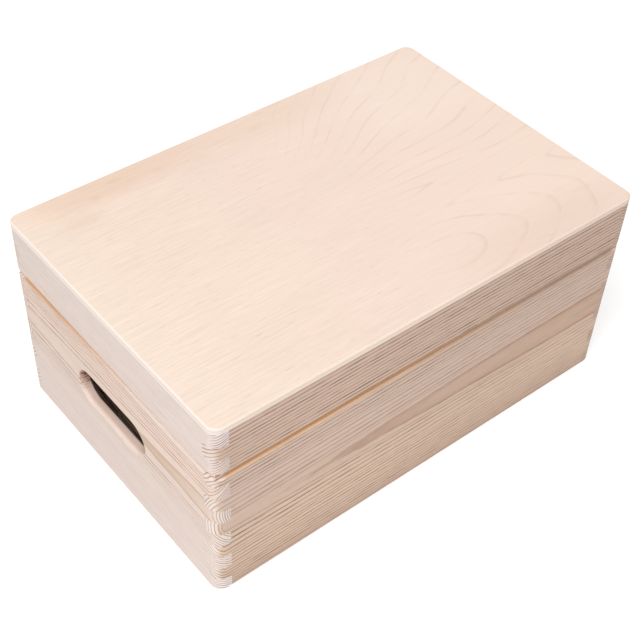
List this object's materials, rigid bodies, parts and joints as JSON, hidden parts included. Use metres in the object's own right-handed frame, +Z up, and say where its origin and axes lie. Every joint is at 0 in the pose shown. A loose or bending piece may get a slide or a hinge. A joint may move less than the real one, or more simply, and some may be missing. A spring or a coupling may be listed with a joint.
{
  "type": "wooden box",
  "caption": "Rectangular pine box with comb-jointed rounded corners, hand holes in the ends, a shadow groove and a lid on butt hinges.",
  "frame": {"origin": "middle of the underside of the base, on the surface that the box stands on", "axes": "+X along the long side, the front at -Y and the hinges at +Y, +Z up"},
  "size_m": [0.3, 0.2015, 0.1353],
  "materials": {
    "pine": "sanded, unfinished",
    "plywood": "sanded, unfinished",
    "brass": "satin"
  },
  "bodies": {
    "base": {"base_front_wall": "pine", "base_back_wall": "pine", "base_left_wall": "pine", "base_right_wall": "pine", "base_panel": "plywood", "left_hinge_base_leaf": "brass", "left_hinge_pin": "brass", "left_hinge_base_screws": "brass", "right_hinge_base_leaf": "brass", "right_hinge_pin": "brass", "right_hinge_base_screws": "brass"},
    "lid": {"lid_front_wall": "pine", "lid_back_wall": "pine", "lid_left_wall": "pine", "lid_right_wall": "pine", "lid_panel": "plywood", "left_hinge_lid_leaf": "brass", "left_hinge_lid_screws": "brass", "right_hinge_lid_leaf": "brass", "right_hinge_lid_screws": "brass"}
  },
  "joints": [
    {"name": "lid_hinge", "type": "hinge", "parent": "base", "child": "lid", "pos_m": [0, 0.10095, 0.1011], "axis": [-1, 0, 0], "range_deg": [0, 180]}
  ]
}
